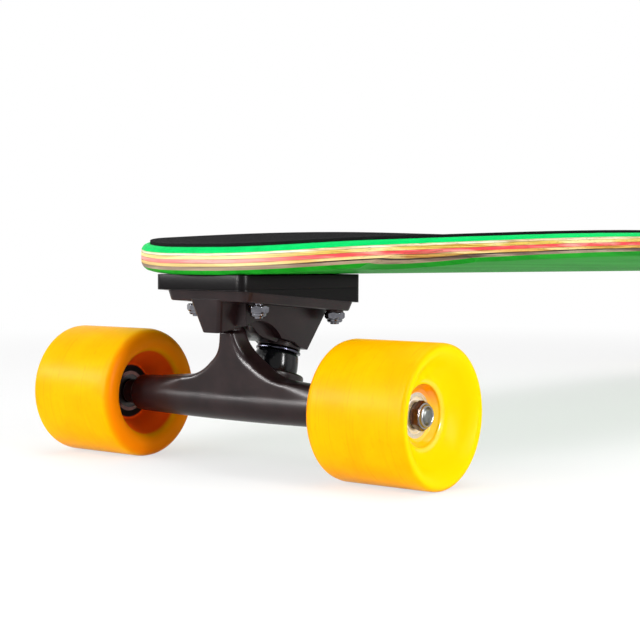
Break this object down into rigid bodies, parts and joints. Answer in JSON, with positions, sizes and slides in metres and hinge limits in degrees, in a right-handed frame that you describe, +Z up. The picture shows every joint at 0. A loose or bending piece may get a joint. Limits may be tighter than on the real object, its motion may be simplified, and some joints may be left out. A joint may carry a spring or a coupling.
{
  "type": "skateboard",
  "caption": "Skateboard with a laminated wood deck, grip tape, wedge risers, leaning kingpin trucks and wide soft wheels on ball bearings.",
  "frame": {"origin": "on the floor under the middle of the board, halfway between the axles", "axes": "+X along the board from the nose to the tail, +Y to the board's right side, +Z up"},
  "size_m": [0.9258, 0.247, 0.1272],
  "materials": {
    "bottom_face_ply": "green stained veneer, satin lacquer",
    "dark_ply": "dark stained veneer, sanded edge",
    "tan_ply": "natural maple veneer, sanded edge",
    "red_ply": "red stained veneer, sanded edge",
    "yellow_ply": "yellow stained veneer, sanded edge",
    "cream_ply": "pale maple veneer, sanded edge",
    "top_face_ply": "mint green stained veneer, satin lacquer",
    "grip_tape": "black abrasive grit sheet",
    "riser_plastic": "black moulded plastic",
    "truck_casting": "black satin coated casting",
    "pivot_cup": "black moulded cup",
    "bushing": "black glossy urethane",
    "bolt_steel": "bright zinc plate",
    "kingpin_steel": "dark plated steel",
    "washer_steel": "bright steel",
    "axle_steel": "turned steel",
    "axle_nut_steel": "dark brown plated steel",
    "bearing_steel": "ground bearing steel",
    "bearing_shield": "pressed bright steel",
    "wheel_urethane": "yellow cast urethane, satin"
  },
  "bodies": {
    "deck": {"bottom_face_ply": "bottom_face_ply", "dark_ply": "dark_ply", "tan_ply": "tan_ply", "red_ply": "red_ply", "yellow_ply": "yellow_ply", "cream_ply": "cream_ply", "top_face_ply": "top_face_ply", "grip_tape": "grip_tape", "front_riser_pad": "riser_plastic", "front_wedge_shim": "riser_plastic", "front_baseplate": "truck_casting", "front_pivot_cup": "pivot_cup", "front_mounting_bolts": "bolt_steel", "front_mounting_nuts": "bolt_steel", "front_kingpin": "kingpin_steel", "front_board_side_washer": "washer_steel", "front_board_side_bushing": "bushing", "front_road_side_bushing": "bushing", "front_road_side_washer": "washer_steel", "front_kingpin_nut": "kingpin_steel", "rear_riser_pad": "riser_plastic", "rear_wedge_shim": "riser_plastic", "rear_baseplate": "truck_casting", "rear_pivot_cup": "pivot_cup", "rear_mounting_bolts": "bolt_steel", "rear_mounting_nuts": "bolt_steel", "rear_kingpin": "kingpin_steel", "rear_board_side_washer": "washer_steel", "rear_board_side_bushing": "bushing", "rear_road_side_bushing": "bushing", "rear_road_side_washer": "washer_steel", "rear_kingpin_nut": "kingpin_steel"},
    "front_hanger_body": {"front_hanger": "truck_casting", "front_axle": "axle_steel", "front_axle_nuts": "axle_nut_steel", "front_speed_washers": "washer_steel", "front_bearing_inner_rings": "bearing_steel", "front_bearing_spacers": "washer_steel"},
    "rear_hanger_body": {"rear_hanger": "truck_casting", "rear_axle": "axle_steel", "rear_axle_nuts": "axle_nut_steel", "rear_speed_washers": "washer_steel", "rear_bearing_inner_rings": "bearing_steel", "rear_bearing_spacers": "washer_steel"},
    "front_left_wheel_body": {"front_left_wheel": "wheel_urethane", "front_left_bearing_outer_rings": "bearing_steel", "front_left_bearing_shields": "bearing_shield"},
    "front_left_balls_body": {"front_left_bearing_balls": "bearing_steel"},
    "front_right_wheel_body": {"front_right_wheel": "wheel_urethane", "front_right_bearing_outer_rings": "bearing_steel", "front_right_bearing_shields": "bearing_shield"},
    "front_right_balls_body": {"front_right_bearing_balls": "bearing_steel"},
    "rear_left_wheel_body": {"rear_left_wheel": "wheel_urethane", "rear_left_bearing_outer_rings": "bearing_steel", "rear_left_bearing_shields": "bearing_shield"},
    "rear_left_balls_body": {"rear_left_bearing_balls": "bearing_steel"},
    "rear_right_wheel_body": {"rear_right_wheel": "wheel_urethane", "rear_right_bearing_outer_rings": "bearing_steel", "rear_right_bearing_shields": "bearing_shield"},
    "rear_right_balls_body": {"rear_right_bearing_balls": "bearing_steel"}
  },
  "joints": [
    {"name": "front_steering", "type": "hinge", "parent": "deck", "child": "front_hanger_body", "pos_m": [-0.39687, 0, 0.0441], "axis": [0.7299, 0, -0.6836], "range_deg": [-15, 15], "stiffness_Nm_per_rad": 60, "deforming": ["front_board_side_bushing", "front_road_side_bushing"]},
    {"name": "front_left_wheel_spin", "type": "hinge", "parent": "front_hanger_body", "child": "front_left_wheel_body", "pos_m": [-0.42, -0.0954, 0.035], "axis": [0, 1, 0], "continuous": true},
    {"name": "front_left_ball_roll", "type": "hinge", "parent": "front_hanger_body", "child": "front_left_balls_body", "pos_m": [-0.42, -0.0954, 0.035], "axis": [0, 1, 0], "continuous": true},
    {"name": "front_right_wheel_spin", "type": "hinge", "parent": "front_hanger_body", "child": "front_right_wheel_body", "pos_m": [-0.42, 0.0954, 0.035], "axis": [0, 1, 0], "continuous": true},
    {"name": "front_right_ball_roll", "type": "hinge", "parent": "front_hanger_body", "child": "front_right_balls_body", "pos_m": [-0.42, 0.0954, 0.035], "axis": [0, 1, 0], "continuous": true},
    {"name": "rear_steering", "type": "hinge", "parent": "deck", "child": "rear_hanger_body", "pos_m": [0.39687, 0, 0.0441], "axis": [-0.7299, 0, -0.6836], "range_deg": [-15, 15], "stiffness_Nm_per_rad": 60, "deforming": ["rear_board_side_bushing", "rear_road_side_bushing"]},
    {"name": "rear_left_wheel_spin", "type": "hinge", "parent": "rear_hanger_body", "child": "rear_left_wheel_body", "pos_m": [0.42, -0.0954, 0.035], "axis": [0, 1, 0], "continuous": true},
    {"name": "rear_left_ball_roll", "type": "hinge", "parent": "rear_hanger_body", "child": "rear_left_balls_body", "pos_m": [0.42, -0.0954, 0.035], "axis": [0, 1, 0], "continuous": true},
    {"name": "rear_right_wheel_spin", "type": "hinge", "parent": "rear_hanger_body", "child": "rear_right_wheel_body", "pos_m": [0.42, 0.0954, 0.035], "axis": [0, 1, 0], "continuous": true},
    {"name": "rear_right_ball_roll", "type": "hinge", "parent": "rear_hanger_body", "child": "rear_right_balls_body", "pos_m": [0.42, 0.0954, 0.035], "axis": [0, 1, 0], "continuous": true}
  ],
  "couplings": [
    {"joint": "front_left_ball_roll", "follows": "front_left_wheel_spin", "ratio": 0.6266},
    {"joint": "front_right_ball_roll", "follows": "front_right_wheel_spin", "ratio": 0.6266},
    {"joint": "rear_left_ball_roll", "follows": "rear_left_wheel_spin", "ratio": 0.6266},
    {"joint": "rear_right_ball_roll", "follows": "rear_right_wheel_spin", "ratio": 0.6266}
  ]
}
